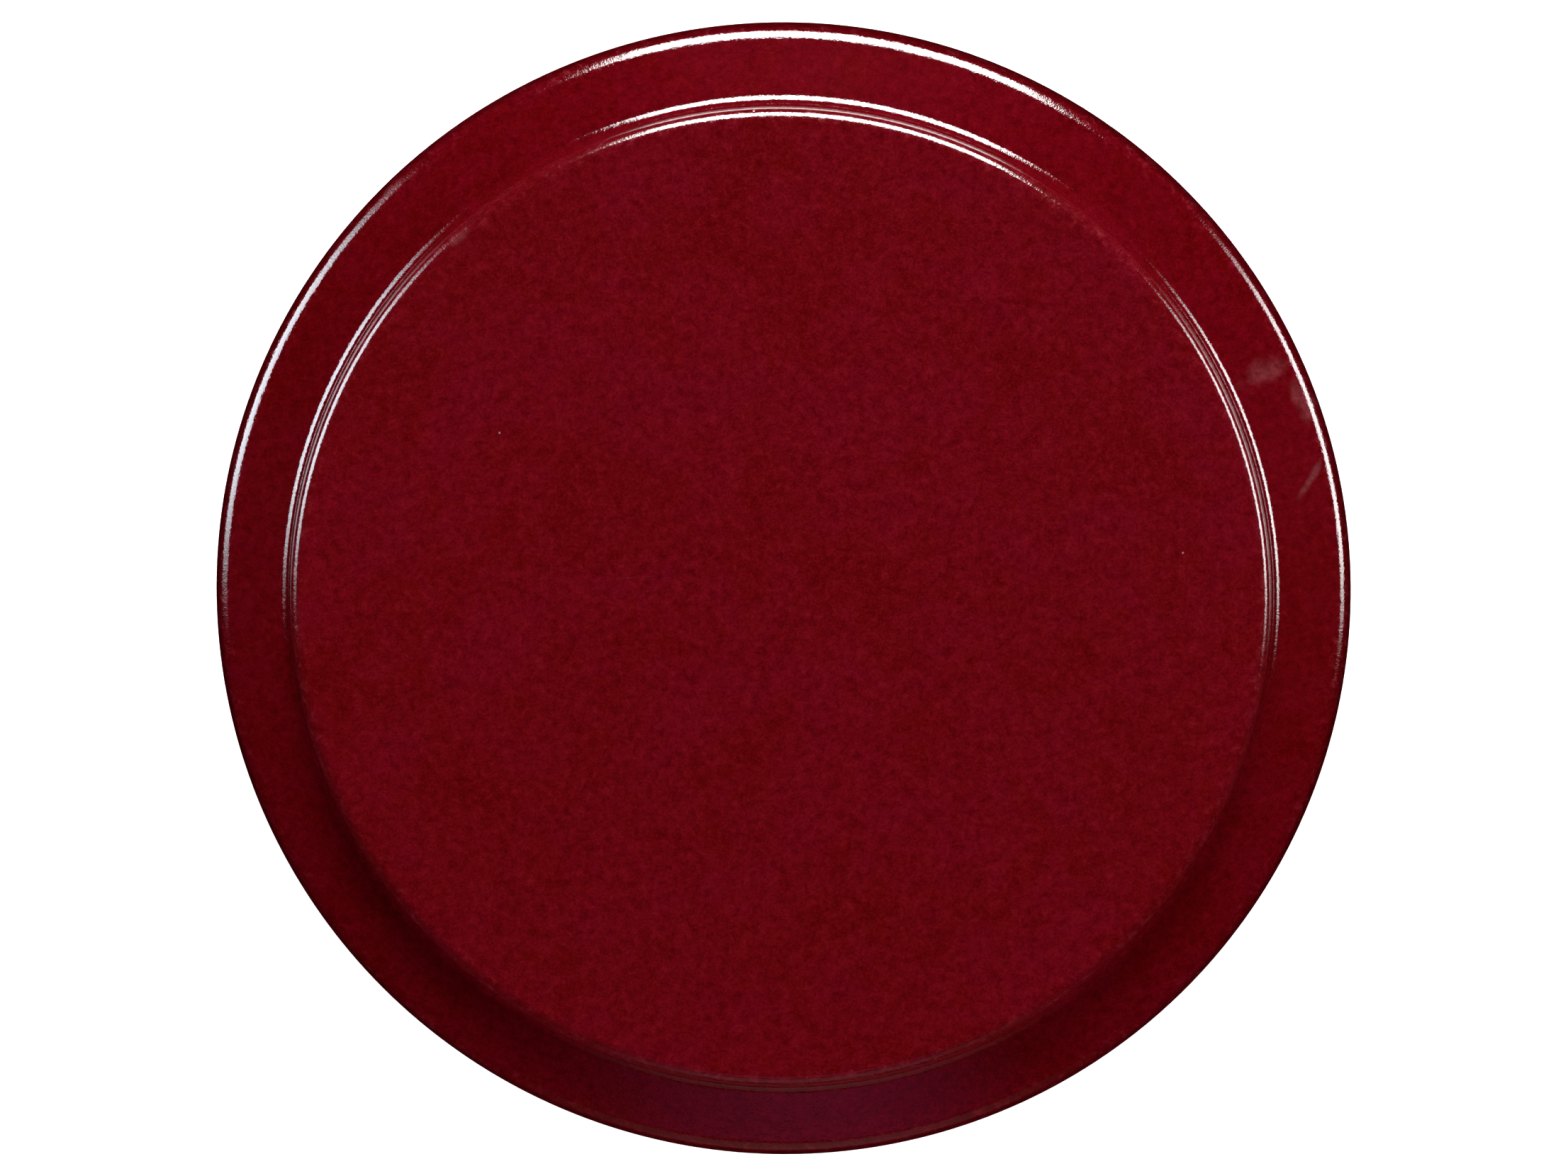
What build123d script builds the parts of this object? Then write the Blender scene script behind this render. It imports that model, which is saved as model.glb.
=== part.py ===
from build123d import *
from math import radians, sqrt, tan
import os

# A flat-sided lawn bowl, lying on its far side disc.
# The axis of the bowl is Z, the near face is up, and z = 0 is the flat face of the far side disc.
# Sizes are in millimetres and angles in degrees.

# Running surface: a crown with a flatter near side and a rounder, biased far side
crown_radius = 62.0
crown_height = 38.5
near_edge_rise = 23.0
near_crown_curve = 150.0
far_edge_drop = 31.0
far_crown_curve = 62.0

# Near side: tight edge, sloping shoulder, and the wall of the raised disc
near_edge_round = 3.0
near_shoulder_slope = 18.0
near_foot_radius = 51.7
near_foot_round = 1.9
near_step = 4.4
near_draft = 12.8
near_disc_round = 1.6
near_seam_rise = 2.4

# Far side: round edge, longer shoulder with two bias rings, low wall of a smaller disc
far_edge_round = 12.0
far_shoulder_slope = 25.0
far_foot_radius = 42.0
far_foot_round = 1.2
far_draft = 8.0
far_disc_round = 1.0
far_seam_height = 1.1
bias_ring_round = 0.6
bias_ring_radii = (44.8, 47.2)

# Core, with a chamfered edge and grooves that lock it in the shell
core_radius = 49.0
core_bottom = 13.0
core_top = 56.0
core_chamfer = 5.0
core_groove_round = 2.5
core_groove_count = 3
core_groove_pitch = 11.0

# Side discs: spigots through the shell, and dowels that key them to the core
near_spigot_radius = 38.0
far_spigot_radius = 28.0
dowel_count = 3
dowel_radius = 3.0
dowel_depth = 8.0
dowel_chamfer = 0.5
near_dowel_circle = 26.0
far_dowel_circle = 18.0

# The lips of the seam between each side disc and the shell
seam_round = 0.2


def crown_sag(curve, rise):
    """How far the running surface falls in from the crown at this distance from it."""
    return curve - sqrt(curve**2 - rise**2)


# Corners of the near side, as (radius, height), before they are rounded
near_edge = (crown_radius - crown_sag(near_crown_curve, near_edge_rise), crown_height + near_edge_rise)
near_shoulder_rise = (near_edge[0] - near_foot_radius) * tan(radians(near_shoulder_slope))
near_foot = (near_foot_radius, near_edge[1] + near_shoulder_rise)
near_rim = (near_foot_radius - near_step * tan(radians(near_draft)), near_foot[1] + near_step)
near_seam_radius = near_foot_radius - near_seam_rise * tan(radians(near_draft))
near_seam = (near_seam_radius, near_foot[1] + near_seam_rise)

# Corners of the far side
far_edge = (crown_radius - crown_sag(far_crown_curve, far_edge_drop), crown_height - far_edge_drop)
far_shoulder_drop = (far_edge[0] - far_foot_radius) * tan(radians(far_shoulder_slope))
far_foot = (far_foot_radius, far_edge[1] - far_shoulder_drop)
far_rim = (far_foot_radius - far_foot[1] * tan(radians(far_draft)), 0.0)
far_seam = (far_foot_radius - (far_foot[1] - far_seam_height) * tan(radians(far_draft)), far_seam_height)

crown = (crown_radius, crown_height)
core_middle = (core_bottom + core_top) / 2
core_groove_heights = [
    core_middle + (i - (core_groove_count - 1) / 2) * core_groove_pitch for i in range(core_groove_count)
]


def round_corner(section, corner, radius):
    """Round the corner of a half section that stands at this (radius, height)."""
    fillet(section.vertices().sort_by_distance(corner)[0], radius=radius)


# Core: the dense body inside, a chamfered drum with three round locking grooves
with BuildPart() as core:
    with BuildSketch(Plane.XZ) as core_section:
        with BuildLine():
            Polyline(
                (0, core_bottom),
                (core_radius - core_chamfer, core_bottom),
                (core_radius, core_bottom + core_chamfer),
                (core_radius, core_top - core_chamfer),
                (core_radius - core_chamfer, core_top),
                (0, core_top),
                close=True,
            )
        make_face()
        with Locations([(core_radius, height) for height in core_groove_heights]):
            Circle(core_groove_round, mode=Mode.SUBTRACT)
    revolve(axis=Axis.Z)
    with BuildSketch(Plane.XY.offset(core_top)):
        with PolarLocations(near_dowel_circle, dowel_count):
            Circle(dowel_radius)
    extrude(amount=-dowel_depth, mode=Mode.SUBTRACT)
    with BuildSketch(Plane.XY.offset(core_bottom)):
        with PolarLocations(far_dowel_circle, dowel_count):
            Circle(dowel_radius)
    extrude(amount=dowel_depth, mode=Mode.SUBTRACT)

# Running shell: the whole outside of the bowl except its two side discs, moulded around the core
with BuildPart() as running_shell:
    with BuildSketch(Plane.XZ) as shell_section:
        with BuildLine():
            Polyline(near_edge, near_foot, near_seam, (near_spigot_radius, near_seam[1]),
                     (near_spigot_radius, core_middle), (far_spigot_radius, core_middle),
                     (far_spigot_radius, far_seam[1]), far_seam, far_foot, far_edge)
            TangentArc(crown, near_edge, tangent=(0, 1))
            TangentArc(crown, far_edge, tangent=(0, -1))
        make_face()
        round_corner(shell_section, near_edge, near_edge_round)
        round_corner(shell_section, near_foot, near_foot_round)
        round_corner(shell_section, near_seam, seam_round)
        round_corner(shell_section, far_seam, seam_round)
        round_corner(shell_section, far_foot, far_foot_round)
        round_corner(shell_section, far_edge, far_edge_round)
        ring_heights = [
            far_foot[1] + (radius - far_foot_radius) * tan(radians(far_shoulder_slope))
            for radius in bias_ring_radii
        ]
        with Locations(list(zip(bias_ring_radii, ring_heights))):
            Circle(bias_ring_round, mode=Mode.SUBTRACT)
        add(core_section.sketch_local, mode=Mode.SUBTRACT)
    revolve(axis=Axis.Z)

# Near side disc: the large raised disc, with a spigot that reaches down to the core
with BuildPart() as near_side_disc:
    with BuildSketch(Plane.XZ) as near_disc_section:
        with BuildLine():
            Polyline(
                (0, core_top),
                (near_spigot_radius, core_top),
                (near_spigot_radius, near_seam[1]),
                near_seam,
                near_rim,
                (0, near_rim[1]),
                close=True,
            )
        make_face()
        round_corner(near_disc_section, near_rim, near_disc_round)
        round_corner(near_disc_section, near_seam, seam_round)
    revolve(axis=Axis.Z)
    with BuildSketch(Plane.XY.offset(core_top)):
        with PolarLocations(near_dowel_circle, dowel_count):
            Circle(dowel_radius)
    extrude(amount=dowel_depth, mode=Mode.SUBTRACT)

# Far side disc: the smaller disc that the bowl lies on, with its own spigot
with BuildPart() as far_side_disc:
    with BuildSketch(Plane.XZ) as far_disc_section:
        with BuildLine():
            Polyline(
                (0, core_bottom),
                (far_spigot_radius, core_bottom),
                (far_spigot_radius, far_seam[1]),
                far_seam,
                far_rim,
                (0, 0),
                close=True,
            )
        make_face()
        round_corner(far_disc_section, far_rim, far_disc_round)
        round_corner(far_disc_section, far_seam, seam_round)
    revolve(axis=Axis.Z)
    with BuildSketch(Plane.XY.offset(core_bottom)):
        with PolarLocations(far_dowel_circle, dowel_count):
            Circle(dowel_radius)
    extrude(amount=-dowel_depth, mode=Mode.SUBTRACT)

# Near disc dowels: three pins, half in the core and half in the disc's spigot
with BuildPart() as near_disc_dowels:
    with BuildSketch(Plane.XY.offset(core_top)):
        with PolarLocations(near_dowel_circle, dowel_count):
            Circle(dowel_radius)
    extrude(amount=dowel_depth, both=True)
    near_ends = near_disc_dowels.edges().group_by(Axis.Z)
    chamfer(near_ends[0] + near_ends[-1], length=dowel_chamfer)

# Far disc dowels: three pins, half in the core and half in the far disc's spigot
with BuildPart() as far_disc_dowels:
    with BuildSketch(Plane.XY.offset(core_bottom)):
        with PolarLocations(far_dowel_circle, dowel_count):
            Circle(dowel_radius)
    extrude(amount=dowel_depth, both=True)
    far_ends = far_disc_dowels.edges().group_by(Axis.Z)
    chamfer(far_ends[0] + far_ends[-1], length=dowel_chamfer)

core.part.label = "core"
running_shell.part.label = "running_shell"
near_side_disc.part.label = "near_side_disc"
far_side_disc.part.label = "far_side_disc"
near_disc_dowels.part.label = "near_disc_dowels"
far_disc_dowels.part.label = "far_disc_dowels"

os.makedirs("parts", exist_ok=True)
export_step(core.part, "parts/core.step")
export_step(running_shell.part, "parts/running_shell.step")
export_step(near_side_disc.part, "parts/near_side_disc.step")
export_step(far_side_disc.part, "parts/far_side_disc.step")
export_step(near_disc_dowels.part, "parts/near_disc_dowels.step")
export_step(far_disc_dowels.part, "parts/far_disc_dowels.step")
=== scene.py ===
import math

import bmesh
import bpy
from mathutils import Matrix, Vector


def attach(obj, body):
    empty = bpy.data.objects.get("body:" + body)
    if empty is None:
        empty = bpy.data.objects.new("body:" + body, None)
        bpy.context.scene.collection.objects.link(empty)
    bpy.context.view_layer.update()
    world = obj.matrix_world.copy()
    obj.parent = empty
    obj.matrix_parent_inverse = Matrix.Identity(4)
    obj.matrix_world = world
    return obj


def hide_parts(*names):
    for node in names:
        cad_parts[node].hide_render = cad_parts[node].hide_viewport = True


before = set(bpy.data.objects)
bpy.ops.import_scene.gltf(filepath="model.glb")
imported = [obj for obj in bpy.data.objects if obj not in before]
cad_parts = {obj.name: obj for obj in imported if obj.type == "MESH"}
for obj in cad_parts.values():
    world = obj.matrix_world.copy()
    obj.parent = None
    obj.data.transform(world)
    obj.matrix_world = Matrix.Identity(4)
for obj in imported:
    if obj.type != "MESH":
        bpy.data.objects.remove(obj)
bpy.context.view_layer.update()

# A flat-sided lawn bowl lying on its far side disc, seen from almost straight above its near face.
# Profiles are in millimetres, as (radius, height), and every mesh is in metres.
# An azimuth is in degrees, clockwise from +Y as seen from above.

MM = 0.001
SCENE = bpy.context.scene

# ---- Dimensions of the outside, as in the CAD model ----
CROWN_RADIUS, CROWN_HEIGHT = 62.0, 38.5
NEAR_EDGE_RISE, NEAR_CROWN_CURVE = 23.0, 150.0
FAR_EDGE_DROP, FAR_CROWN_CURVE = 31.0, 62.0
NEAR_EDGE_ROUND, NEAR_SLOPE = 3.0, 18.0
NEAR_FOOT_RADIUS, NEAR_FOOT_ROUND = 51.7, 1.9
NEAR_STEP, NEAR_DRAFT = 4.4, 12.8
NEAR_DISC_ROUND, NEAR_SEAM_RISE = 1.6, 2.4
FAR_EDGE_ROUND, FAR_SLOPE = 12.0, 25.0
FAR_FOOT_RADIUS, FAR_FOOT_ROUND = 42.0, 1.2
FAR_DRAFT, FAR_DISC_ROUND, FAR_SEAM_HEIGHT = 8.0, 1.0, 1.1
RING_ROUND, RING_RADII = 0.6, (44.8, 47.2)
SEAM_ROUND = 0.2

# ---- Dimensions of the inside ----
CORE_RADIUS, CORE_BOTTOM, CORE_TOP, CORE_CHAMFER = 49.0, 13.0, 56.0, 5.0
GROOVE_ROUND, GROOVE_HEIGHTS = 2.5, (23.5, 34.5, 45.5)
NEAR_SPIGOT, FAR_SPIGOT = 38.0, 28.0
DOWEL_RADIUS, DOWEL_DEPTH, DOWEL_COUNT = 3.0, 8.0, 3
NEAR_DOWEL_CIRCLE, FAR_DOWEL_CIRCLE = 26.0, 18.0

# ---- How finely the meshes follow the profiles ----
# Steps round the axis, along each half of the crown, and round a dowel hole. With 288 steps round
# the axis some edges by the dowel holes are shared by four faces, and with 290 none are.
SEGMENTS, CROWN_STEPS, HOLE_SEGMENTS = 290, 30, 48
# Degrees between points on an arc, and the sharpest bend that is shaded smooth
ARC_STEP, HIDDEN_ARC_STEP, CREASE = 4.0, 15.0, 28
# How far a support stands from its corner, and the shortest straight that gets supports
SUPPORT, LOOSE = 0.12, 1.1
# Rings on a flat face, as shares of its radius
FACE_RINGS = (0.97, 0.8, 0.6, 0.4, 0.2)
# A point this close to the axis, in millimetres, is on it; points this close, in metres, are one
ON_AXIS, WELD = 1e-6, 1e-7


def tan_deg(angle):
    return math.tan(math.radians(angle))


def sag(curve, rise):
    """How far an arc of this radius falls in at this distance from its middle."""
    return curve - math.sqrt(curve**2 - rise**2)


# Corners of the half section before they are rounded
near_edge = Vector((
    CROWN_RADIUS - sag(NEAR_CROWN_CURVE, NEAR_EDGE_RISE), CROWN_HEIGHT + NEAR_EDGE_RISE))
near_foot = Vector((
    NEAR_FOOT_RADIUS, near_edge.y + (near_edge.x - NEAR_FOOT_RADIUS) * tan_deg(NEAR_SLOPE)))
near_seam = near_foot + Vector((-tan_deg(NEAR_DRAFT), 1)) * NEAR_SEAM_RISE
near_rim = near_foot + Vector((-tan_deg(NEAR_DRAFT), 1)) * NEAR_STEP
far_edge = Vector((
    CROWN_RADIUS - sag(FAR_CROWN_CURVE, FAR_EDGE_DROP), CROWN_HEIGHT - FAR_EDGE_DROP))
far_foot = Vector((
    FAR_FOOT_RADIUS, far_edge.y - (far_edge.x - FAR_FOOT_RADIUS) * tan_deg(FAR_SLOPE)))
far_seam = far_foot - Vector((tan_deg(FAR_DRAFT), 1)) * (far_foot.y - FAR_SEAM_HEIGHT)
far_rim = far_foot - Vector((tan_deg(FAR_DRAFT), 1)) * far_foot.y


# ---- Profiles ----
def arc(centre, radius, start, end, step=ARC_STEP):
    """Points on an arc between two angles in radians, ends included."""
    count = max(2, round(abs(math.degrees(end - start)) / step))
    angles = [start + (end - start) * i / count for i in range(count + 1)]
    return [centre + Vector((math.cos(a), math.sin(a))) * radius for a in angles]


def angle_of(vector):
    return math.atan2(vector.y, vector.x)


def rounded(before, corner, after, radius):
    """The arc that rounds a corner of the profile, with its two tangent points."""
    a, b = (before - corner).normalized(), (after - corner).normalized()
    half = a.angle(b) / 2
    middle = corner + (a + b).normalized() * (radius / math.sin(half))
    first, last = (corner + v * (radius / math.tan(half)) - middle for v in (a, b))
    sweep = angle_of(last) - angle_of(first)
    sweep = (sweep + math.pi) % (2 * math.pi) - math.pi
    return arc(middle, radius, angle_of(first), angle_of(first) + sweep)


def crown_edge(curve, corner, slope, radius, side):
    """The centre of the crown's curve, the angle at which it ends, and the arc on to the shoulder.

    side is 1 for the near side and -1 for the far side.
    """
    centre = Vector((CROWN_RADIUS - curve, CROWN_HEIGHT))
    inward = Vector((-math.cos(math.radians(slope)), side * math.sin(math.radians(slope))))
    into = Vector((-math.sin(math.radians(slope)), -side * math.cos(math.radians(slope))))
    offset = corner + into * radius - centre
    root = math.sqrt(offset.dot(inward)**2 - offset.length_squared + (curve - radius)**2)
    choices = [centre + offset + inward * (sign * root - offset.dot(inward)) for sign in (1, -1)]
    middle = min(choices, key=lambda choice: (choice - corner).length)
    on_crown = angle_of(middle - centre)
    return centre, on_crown, arc(middle, radius, on_crown, angle_of(-into))


def supported(points, loose=LOOSE):
    """Adds a point close to both ends of each long straight, so that shading stays flat along it."""
    result = [points[0]]
    for point, follow in zip(points, points[1:]):
        gap = follow - point
        if gap.length > loose:
            result.append(point + gap.normalized() * SUPPORT)
            result.append(follow - gap.normalized() * SUPPORT)
        result.append(follow)
    return result


def crown(centre, angle, curve):
    """Points along the crown's curve, from the widest point up to just before this angle."""
    turns = [angle * i / CROWN_STEPS for i in range(CROWN_STEPS)]
    return [centre + Vector((math.cos(turn), math.sin(turn))) * curve for turn in turns]


def shell_profile():
    """Closed half section of the running shell, the way that lathe needs it."""
    near_centre, near_angle, near_arc = crown_edge(
        NEAR_CROWN_CURVE, near_edge, NEAR_SLOPE, NEAR_EDGE_ROUND, 1)
    far_centre, far_angle, far_arc = crown_edge(
        FAR_CROWN_CURVE, far_edge, FAR_SLOPE, FAR_EDGE_ROUND, -1)
    near_crown = crown(near_centre, near_angle, NEAR_CROWN_CURVE)
    far_crown = crown(far_centre, far_angle, FAR_CROWN_CURVE)[1:]
    shoulder_down = (far_foot - far_edge).normalized()
    points = rounded(Vector((NEAR_SPIGOT, near_seam.y)), near_seam, near_foot, SEAM_ROUND)
    points += rounded(near_seam, near_foot, near_edge, NEAR_FOOT_ROUND)
    points += near_arc[::-1]
    points += near_crown[::-1]
    points += far_crown
    points += far_arc
    for radius in sorted(RING_RADII, reverse=True):
        along = (radius - FAR_FOOT_RADIUS) / math.cos(math.radians(FAR_SLOPE))
        middle = far_foot - shoulder_down * along
        start = angle_of(-shoulder_down)
        points += arc(middle, RING_ROUND, start, start + math.pi)
    points += rounded(far_edge, far_foot, far_seam, FAR_FOOT_ROUND)
    points += rounded(far_foot, far_seam, Vector((FAR_SPIGOT, far_seam.y)), SEAM_ROUND)
    points += [Vector(p) for p in (
        (FAR_SPIGOT, FAR_SEAM_HEIGHT), (FAR_SPIGOT, CORE_BOTTOM),
        (CORE_RADIUS - CORE_CHAMFER, CORE_BOTTOM), (CORE_RADIUS, CORE_BOTTOM + CORE_CHAMFER))]
    for height in GROOVE_HEIGHTS:
        groove = Vector((CORE_RADIUS, height))
        points += arc(groove, GROOVE_ROUND, math.pi * 1.5, math.pi * 0.5, HIDDEN_ARC_STEP)
    points += [Vector(p) for p in (
        (CORE_RADIUS, CORE_TOP - CORE_CHAMFER), (CORE_RADIUS - CORE_CHAMFER, CORE_TOP),
        (NEAR_SPIGOT, CORE_TOP), (NEAR_SPIGOT, near_seam.y))]
    return supported(points + points[:1])[:0:-1]


def disc_profile(rim, seam, rim_round, spigot, core_face):
    """Half section of a side disc, from the middle of its spigot's end to that of its flat face."""
    lip = Vector((spigot, seam.y))
    face = Vector((0, rim.y))
    points = [Vector((0, core_face)), Vector((spigot, core_face)), lip]
    points += rounded(lip, seam, rim, SEAM_ROUND)
    points += rounded(seam, rim, face, rim_round)
    spread = points[-1].x
    points += [Vector((spread * share, rim.y)) for share in FACE_RINGS]
    return supported(points, spread / 2) + [face]


# ---- Meshes ----
def lathe(name, profile, closed):
    """A mesh of revolution about Z.

    A closed profile makes a ring, and an open one starts and ends on the axis.
    """
    verts, faces, rings = [], [], []
    for point in profile:
        count = 1 if point.x < ON_AXIS else SEGMENTS
        rings.append([len(verts) + k for k in range(count)])
        for k in range(count):
            turn = 2 * math.pi * k / SEGMENTS
            verts.append((point.x * MM * math.cos(turn), point.x * MM * math.sin(turn), point.y * MM))
    for low, high in zip(rings, rings[1:] + rings[:1] if closed else rings[1:]):
        for k in range(SEGMENTS):
            n = (k + 1) % SEGMENTS
            if len(low) == 1:
                faces.append((low[0], high[n], high[k]))
            elif len(high) == 1:
                faces.append((low[k], low[n], high[0]))
            else:
                faces.append((low[k], low[n], high[n], high[k]))
    mesh = bpy.data.meshes.new(name)
    mesh.from_pydata(verts, [], faces)
    smooth(mesh)
    piece = bpy.data.objects.new(name, mesh)
    SCENE.collection.objects.link(piece)
    return piece


def smooth(mesh):
    """Faces outward, smooth, with hard edges kept hard."""
    shape = bmesh.new()
    shape.from_mesh(mesh)
    bmesh.ops.remove_doubles(shape, verts=shape.verts, dist=WELD)
    bmesh.ops.recalc_face_normals(shape, faces=shape.faces)
    shape.to_mesh(mesh)
    shape.free()
    for polygon in mesh.polygons:
        polygon.use_smooth = True
    mesh.set_sharp_from_angle(angle=math.radians(CREASE))


def drill(piece, circle, face):
    """Cuts the dowel holes into the end of a side disc's spigot."""
    holes = bmesh.new()
    for i in range(DOWEL_COUNT):
        turn = 2 * math.pi * i / DOWEL_COUNT
        place = Vector((circle * MM * math.cos(turn), circle * MM * math.sin(turn), face * MM))
        bmesh.ops.create_cone(holes, cap_ends=True, segments=HOLE_SEGMENTS, radius1=DOWEL_RADIUS * MM,
                              radius2=DOWEL_RADIUS * MM, depth=2 * DOWEL_DEPTH * MM,
                              matrix=Matrix.Translation(place))
    cutter_mesh = bpy.data.meshes.new("holes")
    holes.to_mesh(cutter_mesh)
    holes.free()
    cutter = bpy.data.objects.new("holes", cutter_mesh)
    SCENE.collection.objects.link(cutter)
    cut = piece.modifiers.new("drill", "BOOLEAN")
    cut.operation, cut.solver, cut.object = "DIFFERENCE", "EXACT", cutter
    drilled = bpy.data.meshes.new_from_object(
        piece.evaluated_get(bpy.context.evaluated_depsgraph_get()))
    piece.modifiers.remove(cut)
    piece.data = drilled
    bpy.data.objects.remove(cutter)


near_disc = disc_profile(near_rim, near_seam, NEAR_DISC_ROUND, NEAR_SPIGOT, CORE_TOP)
far_disc = disc_profile(far_rim, far_seam, FAR_DISC_ROUND, FAR_SPIGOT, CORE_BOTTOM)
shell_skin = lathe("running_shell_skin", shell_profile(), closed=True)
near_skin = lathe("near_side_disc_skin", near_disc, closed=False)
far_skin = lathe("far_side_disc_skin", far_disc, closed=False)
drill(near_skin, NEAR_DOWEL_CIRCLE, CORE_TOP)
drill(far_skin, FAR_DOWEL_CIRCLE, CORE_BOTTOM)


# ---- Materials ----
class Nodes:
    """Short names for building one material's nodes."""

    def __init__(self, name):
        self.material = bpy.data.materials.new(name)
        self.material.use_nodes = True
        self.tree = self.material.node_tree
        self.shader = self.tree.nodes["Principled BSDF"]
        self.place = self.add("ShaderNodeTexCoord").outputs["Object"]

    def add(self, kind, **settings):
        node = self.tree.nodes.new(kind)
        for key, value in settings.items():
            setattr(node, key, value)
        return node

    def put(self, socket, value):
        if isinstance(value, bpy.types.NodeSocket):
            self.tree.links.new(value, socket)
        else:
            socket.default_value = value

    def noise(self, size, detail=2.0, roughness=0.5, distortion=0.0, place=None):
        """Noise whose blotches are about this many millimetres across."""
        node = self.add("ShaderNodeTexNoise")
        self.put(node.inputs["Vector"], place or self.place)
        self.put(node.inputs["Scale"], 1 / (size * MM))
        self.put(node.inputs["Detail"], detail)
        self.put(node.inputs["Roughness"], roughness)
        self.put(node.inputs["Distortion"], distortion)
        return node.outputs["Fac"]

    def math(self, operation, a, b=0.0, c=0.0):
        node = self.add("ShaderNodeMath", operation=operation)
        for socket, value in zip(node.inputs, (a, b, c)):
            self.put(socket, value)
        return node.outputs[0]

    def span(self, value, low, high, to_low=0.0, to_high=1.0):
        """Maps low..high smoothly onto to_low..to_high, and holds it there beyond."""
        node = self.add("ShaderNodeMapRange", interpolation_type="SMOOTHSTEP")
        for key, number in (("Value", value), ("From Min", low), ("From Max", high),
                            ("To Min", to_low), ("To Max", to_high)):
            self.put(node.inputs[key], number)
        return node.outputs["Result"]

    def mix(self, factor, a, b):
        node = self.add("ShaderNodeMix", data_type="RGBA")
        self.put(node.inputs["Factor"], factor)
        self.put(node.inputs["A"], a)
        self.put(node.inputs["B"], b)
        return node.outputs["Result"]

    def bump(self, height, distance, under=None):
        """Bump whose full height is this many millimetres, laid over another bump."""
        node = self.add("ShaderNodeBump")
        self.put(node.inputs["Distance"], distance * MM)
        self.put(node.inputs["Height"], height)
        if under:
            self.put(node.inputs["Normal"], under)
        return node.outputs["Normal"]

    def length(self, a, b):
        squares = self.math("MULTIPLY", a, a), self.math("MULTIPLY", b, b)
        return self.math("SQRT", self.math("ADD", *squares))

    def polar(self):
        """Radius in millimetres, azimuth in degrees and height in millimetres of the shaded point."""
        split = self.add("ShaderNodeSeparateXYZ")
        self.put(split.inputs["Vector"], self.place)
        x, y, z = (split.outputs[key] for key in "XYZ")
        radius = self.length(x, y)
        azimuth = self.math("DEGREES", self.math("ARCTAN2", x, y))
        return self.math("MULTIPLY", radius, 1 / MM), azimuth, self.math("MULTIPLY", z, 1 / MM)


def rgb(red, green, blue):
    return (red, green, blue, 1.0)


def scaled(colour, shade, share=1.0):
    return rgb(*(channel * scale * share for channel, scale in zip(colour, shade)))


# Colours of the red phenolic
CRIMSON, BRICK = (0.084, 0.0012, 0.0046), (0.080, 0.0012, 0.0020)
DEEP, PALE = (0.046, 0.0003, 0.0010), (0.124, 0.0036, 0.0066)
SPECK_COLOUR, SCRATCH_COLOUR = rgb(0.45, 0.22, 0.22), rgb(0.30, 0.08, 0.09)
# The pale film colour paints both wipe films and painted reflections of a faint light
WORN_COLOUR, FILM_AND_REFLECTION_COLOUR = rgb(0.20, 0.02, 0.03), rgb(0.42, 0.17, 0.19)

# Sizes of its patterns in millimetres, and its hair scratches as (turn in radians, length)
CLOUD, BLOTCH, MOTTLE, GRAIN, SMEAR = 14.0, 3.4, 0.9, 0.2, 17.0
SPECK_CELL, SCRATCH_WIDTH, SCRATCH_PATCH = 7.0, 0.3, 7.0
SCRATCHES = ((0.7, 14.0), (2.3, 9.0), (1.5, 11.0))

# Its relief in millimetres, with the orange peel as (size, detail, roughness, height)
ORANGE_PEEL = ((3.2, 1.0, 0.4, 0.010), (0.6, 2.0, 0.55, 0.016), (0.19, 1.0, 0.5, 0.012))
SCRATCH_DEPTH, SPECK_HEIGHT = 0.002, 0.015
PHENOLIC_IOR = 1.52


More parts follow.
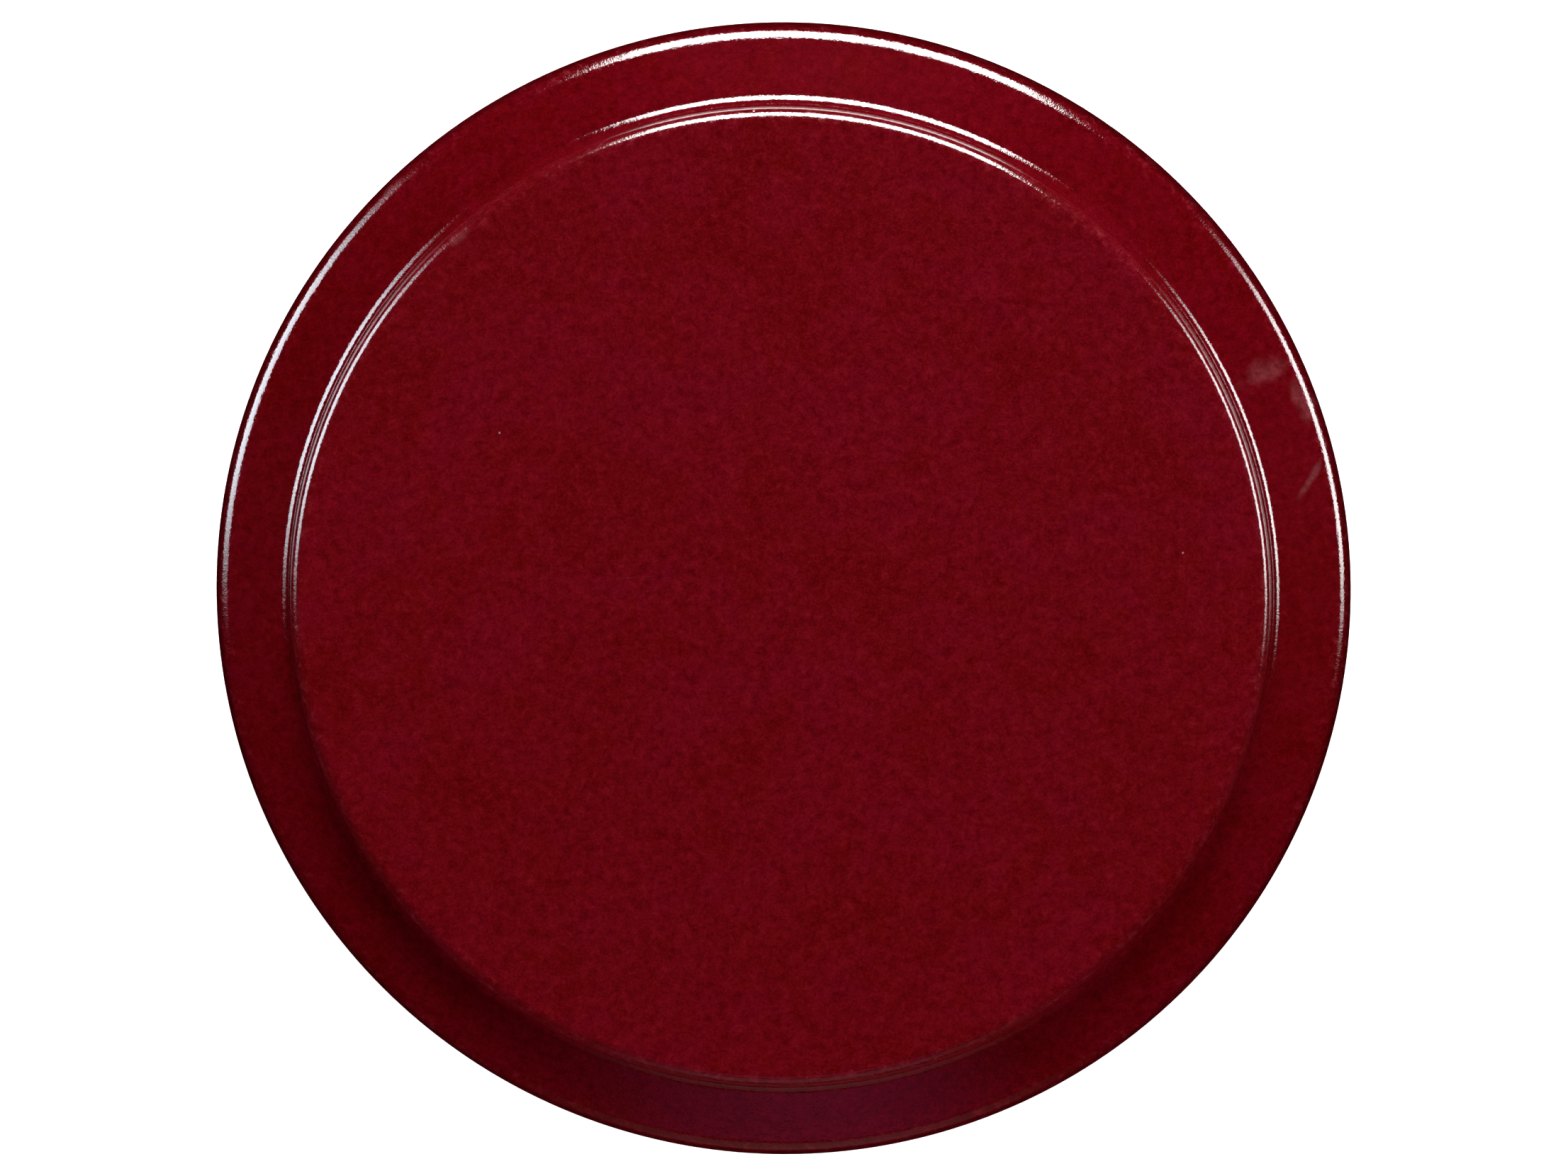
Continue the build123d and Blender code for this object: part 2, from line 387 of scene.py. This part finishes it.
def phenolic(name, shade, gloss, worn, marks):
    """Deep red moulded phenolic, clouded and mottled, with orange peel, specks, scratches and wear.

    shade scales the red, green and blue. gloss is the roughness where nothing dulls it. worn holds
    the (low, high) radii in millimetres over which the near edge wears. marks are pale patches, wipe
    marks and painted reflections, as (radius, azimuth, half height, half width, lean, strength), in
    millimetres and degrees, with the lean in degrees round for each millimetre out. The running
    surface also gets painted shade toward its near edge.
    """
    n = Nodes(name)
    radius, azimuth, height = n.polar()
    cloud = n.noise(CLOUD, 3.0, 0.6, 0.4)
    blotch = n.noise(BLOTCH, 3.0, 0.6, 0.8)
    mottle = n.noise(MOTTLE, 4.0, 0.7, 0.5)
    grain = n.noise(GRAIN, 1.0, 0.5)

    # Crimson and brick clouds, broken up by blotches, then a fine fibrous mottle and grain
    tint = n.math("MULTIPLY_ADD", blotch, 0.45, n.math("MULTIPLY", cloud, 0.55))
    colour = n.mix(n.span(tint, 0.38, 0.62), scaled(BRICK, shade), scaled(CRIMSON, shade))
    colour = n.mix(n.span(tint, 0.30, 0.50, 0.35, 0.0), colour, scaled(DEEP, shade))
    colour = n.mix(n.span(mottle, 0.28, 0.56, 0.8, 0.0), colour, scaled(DEEP, shade))
    colour = n.mix(n.span(mottle, 0.50, 0.78, 0.0, 0.7), colour, scaled(PALE, shade))
    colour = n.mix(n.span(grain, 0.50, 0.70, 0.0, 0.32), colour, scaled(PALE, shade))
    colour = n.mix(n.span(grain, 0.30, 0.50, 0.38, 0.0), colour, scaled(DEEP, shade))

    # Pin-prick specks, at the middle of about two cells in five
    cells = n.add("ShaderNodeTexVoronoi")
    n.put(cells.inputs["Vector"], n.place)
    n.put(cells.inputs["Scale"], 1 / (SPECK_CELL * MM))
    pick = n.add("ShaderNodeSeparateColor")
    n.put(pick.inputs["Color"], cells.outputs["Color"])
    speck = n.math("MULTIPLY", n.span(cells.outputs["Distance"], 0.014, 0.026, 1.0, 0.0),
                   n.span(pick.outputs[0], 0.58, 0.60))
    colour = n.mix(n.math("MULTIPLY", speck, 0.55), colour, SPECK_COLOUR)

    # Hair scratches in three directions, kept to broken patches
    scratches = None
    for turn, length in SCRATCHES:
        turned = n.add("ShaderNodeVectorRotate", rotation_type="Z_AXIS")
        n.put(turned.inputs["Vector"], n.place)
        n.put(turned.inputs["Angle"], turn)
        mapping = n.add("ShaderNodeMapping")
        n.put(mapping.inputs["Vector"], turned.outputs["Vector"])
        n.put(mapping.inputs["Scale"], (1.0, SCRATCH_WIDTH / length, 1.0))
        fibres = n.noise(SCRATCH_WIDTH, 1.0, 0.4, 0.0, mapping.outputs["Vector"])
        streak = n.span(fibres, 0.75, 0.80)
        streak = n.math("MULTIPLY", streak, n.span(n.noise(SCRATCH_PATCH, 1.0), 0.62, 0.72))
        scratches = streak if scratches is None else n.math("MAXIMUM", scratches, streak)
    colour = n.mix(n.math("MULTIPLY", scratches, 0.02), colour, SCRATCH_COLOUR)

    # Painted shade: the running surface is painted darker than the sides, most of all close to its
    # near edge
    outside = n.span(radius, near_edge.x - 0.9, near_edge.x - 0.1)
    painted_shade_by_height = n.span(height, near_edge.y - 14.0, near_edge.y - 3.0, 0.35, 0.78)
    dark = n.math("MULTIPLY", outside, painted_shade_by_height)
    colour = n.mix(dark, colour, scaled(DEEP, shade, 0.6))

    # Wear at the near edge, paler than the rest
    near_side = n.span(height, near_edge.y - 6.0, near_edge.y - 4.0)
    wear = n.math("MULTIPLY", n.span(radius, worn[0], worn[1]), n.span(mottle, 0.52, 0.66))
    wear = n.math("MULTIPLY", wear, near_side)
    colour = n.mix(n.math("MULTIPLY", wear, 0.10), colour, WORN_COLOUR)

    # Pale patches on the near side only: wipe films with ragged edges, and painted reflections of a
    # faint light
    film_and_reflection = None
    for mark_radius, mark_azimuth, tall, wide, lean, strength in marks:
        outward = n.math("SUBTRACT", radius, mark_radius)
        across = n.math("DIVIDE", outward, tall)
        onward = n.math("SUBTRACT", azimuth, mark_azimuth)
        along = n.math("SUBTRACT", onward, n.math("MULTIPLY", outward, lean))
        along = n.math("DIVIDE", along, math.degrees(wide / mark_radius))
        ragged = n.math("MULTIPLY", n.math("SUBTRACT", blotch, 0.5), 2.2)
        reach = n.math("ADD", n.length(across, along), ragged)
        patch = n.span(reach, 0.1, 1.2, strength, 0.0)
        patch = n.math("MULTIPLY", patch, n.span(mottle, 0.25, 0.7, 0.35, 1.0))
        film_and_reflection = patch if film_and_reflection is None else n.math("MAXIMUM", film_and_reflection, patch)
    colour = n.mix(n.math("MULTIPLY", film_and_reflection, near_side), colour, FILM_AND_REFLECTION_COLOUR)
    n.put(n.shader.inputs["Base Color"], colour)

    # Smears, wear, scratches and specks dull the gloss a little
    smear = n.span(n.noise(SMEAR, 3.0, 0.6, 1.2), 0.52, 0.70)
    rough = n.span(mottle, 0.2, 0.8, gloss * 0.85, gloss * 1.15)
    for mask, amount in ((smear, 0.015), (wear, 0.08), (scratches, 0.05), (speck, 0.3)):
        rough = n.math("ADD", rough, n.math("MULTIPLY", mask, amount))
    n.put(n.shader.inputs["Roughness"], rough)
    n.put(n.shader.inputs["IOR"], PHENOLIC_IOR)

    # Orange peel in three sizes, with the scratches cut in and the specks standing up
    relief = None
    for size, detail, roughness, peel in ORANGE_PEEL:
        relief = n.bump(n.noise(size, detail, roughness), peel, relief)
    relief = n.bump(n.math("MULTIPLY", scratches, -1.0), SCRATCH_DEPTH, relief)
    n.put(n.shader.inputs["Normal"], n.bump(speck, SPECK_HEIGHT, relief))
    return n.material


shell_material = phenolic(
    "red_phenolic_polished", shade=(0.92, 0.6, 0.8), gloss=0.05,
    worn=(near_edge.x - 2.2, near_edge.x - 1.2),
    # Three wipe marks, then at -43.5 degrees a painted reflection of a faint light
    marks=((55.7, 64.7, 3.0, 1.5, 0.0, 0.085), (58.7, 69.0, 1.0, 2.2, 0.0, 0.09),
           (57.5, 76.6, 1.9, 0.6, -1.0, 0.12), (59.3, -43.5, 0.5, 1.4, 0.0, 0.16)))
disc_material = phenolic(
    "red_phenolic_disc", shade=(1.05, 1.1, 1.15), gloss=0.09,
    worn=(near_rim.x - 1.6, near_rim.x - 1.0),
    # One painted reflection of a faint light, by the disc's edge
    marks=((50.0, -41.0, 0.6, 1.4, 0.0, 0.10),))


def core_material():
    n = Nodes("dark_filled_phenolic")
    flakes = n.noise(1.6, 3.0, 0.6)
    colour = n.mix(n.span(flakes, 0.35, 0.65), rgb(0.030, 0.018, 0.016), rgb(0.065, 0.040, 0.036))
    n.put(n.shader.inputs["Base Color"], colour)
    n.put(n.shader.inputs["Roughness"], n.span(flakes, 0.2, 0.8, 0.55, 0.75))
    n.put(n.shader.inputs["Normal"], n.bump(n.noise(0.8, 3.0, 0.6), 0.05))
    return n.material


def brass_material():
    n = Nodes("plain_brass")
    stain = n.noise(2.5, 3.0, 0.6)
    colour = n.mix(n.span(stain, 0.3, 0.7), rgb(0.52, 0.36, 0.14), rgb(0.66, 0.50, 0.24))
    n.put(n.shader.inputs["Base Color"], colour)
    n.put(n.shader.inputs["Metallic"], 1.0)
    n.put(n.shader.inputs["Roughness"], n.span(stain, 0.2, 0.8, 0.28, 0.42))
    n.put(n.shader.inputs["Normal"], n.bump(n.noise(0.3, 2.0), 0.004))
    return n.material


def coat(piece, material):
    piece.data.materials.clear()
    piece.data.materials.append(material)


for piece, material, node, slot in (
        (shell_skin, shell_material, "running_shell", "shell"),
        (near_skin, disc_material, "near_side_disc", "side_disc"),
        (far_skin, disc_material, "far_side_disc", "side_disc")):
    coat(piece, material)
    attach(piece, "root")
    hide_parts(node)

brass = brass_material()
for node, material in (
        ("core", core_material()), ("near_disc_dowels", brass), ("far_disc_dowels", brass)):
    coat(bpy.data.objects[node], material)

# ---- Camera ----
# It looks down on the near face, tilted off the axis by TILT toward the azimuth TURN, in degrees.
# DISTANCE and the shifts of the aim are in metres, and the focal length is a share of the sensor.
DISTANCE, TILT, TURN = 0.330, 4.7, 21.8
SENSOR_WIDTH, FOCAL_SHARE = 36, 1.848
RIGHT_SHIFT, UP_SHIFT = 0.00026, 0.00070
CLIP_START = 0.01
centre = Vector((0, 0, CROWN_HEIGHT * MM))
tilt, turn = math.radians(TILT), math.radians(TURN)
toward = Vector((
    math.sin(tilt) * math.sin(turn), math.sin(tilt) * math.cos(turn), math.cos(tilt)))
side = Vector((0, 1, 0)).cross(toward).normalized()
aim = centre - side * RIGHT_SHIFT - toward.cross(side) * UP_SHIFT
camera_data = bpy.data.cameras.new("camera")
camera = bpy.data.objects.new("camera", camera_data)
SCENE.collection.objects.link(camera)
place = centre + toward * DISTANCE
back = (place - aim).normalized()
right = Vector((0, 1, 0)).cross(back).normalized()
axes = Matrix((right, back.cross(right), back)).transposed().to_4x4()
camera.matrix_world = Matrix.Translation(place) @ axes
camera_data.sensor_width = SENSOR_WIDTH
camera_data.lens = SENSOR_WIDTH * FOCAL_SHARE
camera_data.clip_start = CLIP_START
SCENE.camera = camera


# ---- Lights ----
def softbox(name, azimuth, elevation, width, height, radiance, seen,
            distance=0.6, fade=0.0, tint=(1, 1, 1)):
    """A soft rectangular light, at a distance in metres from the middle of the near face.

    Its width and height are the angles in degrees that it fills, seen from there. fade is the share
    of its width over which each end grows dark. seen is "shine" for a box that only makes
    reflections, and "shade" for one that only lights the colour under the gloss.
    """
    data = bpy.data.lights.new(name, "AREA")
    data.shape = "RECTANGLE"
    data.size = 2 * distance * tan_deg(width / 2)
    data.size_y = 2 * distance * tan_deg(height / 2)
    data.energy = radiance * math.pi * data.size * data.size_y
    data.color = tint
    if fade:
        data.use_nodes = True
        nodes, links = data.node_tree.nodes, data.node_tree.links
        across = nodes.new("ShaderNodeSeparateXYZ")
        links.new(nodes.new("ShaderNodeNewGeometry").outputs["Parametric"], across.inputs["Vector"])
        ramp = nodes.new("ShaderNodeMapRange")
        ramp.interpolation_type = "SMOOTHSTEP"
        offset = nodes.new("ShaderNodeMath")
        offset.operation, offset.inputs[1].default_value = "SUBTRACT", 0.5
        size = nodes.new("ShaderNodeMath")
        size.operation = "ABSOLUTE"
        links.new(across.outputs["X"], offset.inputs[0])
        links.new(offset.outputs[0], size.inputs[0])
        links.new(size.outputs[0], ramp.inputs["Value"])
        for key, value in (
                ("From Min", 0.5 - fade), ("From Max", 0.5), ("To Min", 1.0), ("To Max", 0.0)):
            ramp.inputs[key].default_value = value
        links.new(ramp.outputs["Result"], nodes["Emission"].inputs["Strength"])
    light = bpy.data.objects.new(name, data)
    SCENE.collection.objects.link(light)
    a, e = math.radians(azimuth), math.radians(elevation)
    direction = Vector((math.sin(a) * math.cos(e), math.cos(a) * math.cos(e), math.sin(e)))
    light.location = Vector((0, 0, near_rim.y * MM)) + direction * distance
    light.rotation_euler = direction.to_track_quat("Z", "Y").to_euler()
    light.visible_camera = False
    light.visible_diffuse = seen == "shade"
    light.visible_glossy = seen == "shine"


softbox("top_shine", 4, 20.5, 51, 30, 34, "shine", distance=1.2, fade=0.14)
softbox("right_shine", 76, 9, 50, 18, 18, "shine", distance=0.9, fade=0.34)
softbox("left_shine", 289, 12, 50, 26, 17, "shine", distance=0.9, fade=0.4, tint=(0.82, 0.91, 1.0))
softbox("bottom_shine", 178, 8, 64, 36, 0.17, "shine", fade=0.5)
softbox("bottom_glow", 180, 40, 42, 14, 0.58, "shine", fade=0.5, tint=(1.0, 0.13, 0.42))
softbox("top_key", 2, 34, 25, 25, 32, "shade")
softbox("right_fill", 90, 35, 25, 25, 8, "shade")
softbox("bottom_fill", 180, 15, 25, 25, 10, "shade")
softbox("left_fill", 270, 35, 25, 25, 2.4, "shade")

# ---- Floor and world ----
# The floor is just under the bowl, so that the two don't share a plane. It glows, so that it stays
# white around the bowl. Only the camera sees the world.
FLOOR_REACH, FLOOR_HEIGHT = 3, -2e-5
FLOOR_WHITE, FLOOR_GLOW, FLOOR_ROUGHNESS = 0.85, 0.85, 0.9
floor_corners = [(x * FLOOR_REACH, y * FLOOR_REACH, FLOOR_HEIGHT)
                 for x, y in ((-1, -1), (1, -1), (1, 1), (-1, 1))]
floor_mesh = bpy.data.meshes.new("floor")
floor_mesh.from_pydata(floor_corners, [], [(0, 1, 2, 3)])
floor = bpy.data.objects.new("floor", floor_mesh)
SCENE.collection.objects.link(floor)
floor_material = bpy.data.materials.new("pale_floor")
floor_material.use_nodes = True
floor_shader = floor_material.node_tree.nodes["Principled BSDF"]
floor_shader.inputs["Base Color"].default_value = rgb(FLOOR_WHITE, FLOOR_WHITE, FLOOR_WHITE)
floor_shader.inputs["Roughness"].default_value = FLOOR_ROUGHNESS
floor_shader.inputs["Emission Color"].default_value = rgb(1, 1, 1)
floor_shader.inputs["Emission Strength"].default_value = FLOOR_GLOW
floor_mesh.materials.append(floor_material)
floor.visible_glossy = False

world = bpy.data.worlds.new("world")
SCENE.world = world
world.use_nodes = True
background = world.node_tree.nodes["Background"]
background.inputs["Color"].default_value = rgb(1, 1, 1)
ray = world.node_tree.nodes.new("ShaderNodeLightPath")
world.node_tree.links.new(ray.outputs["Is Camera Ray"], background.inputs["Strength"])

SCENE.view_settings.view_transform = "Standard"
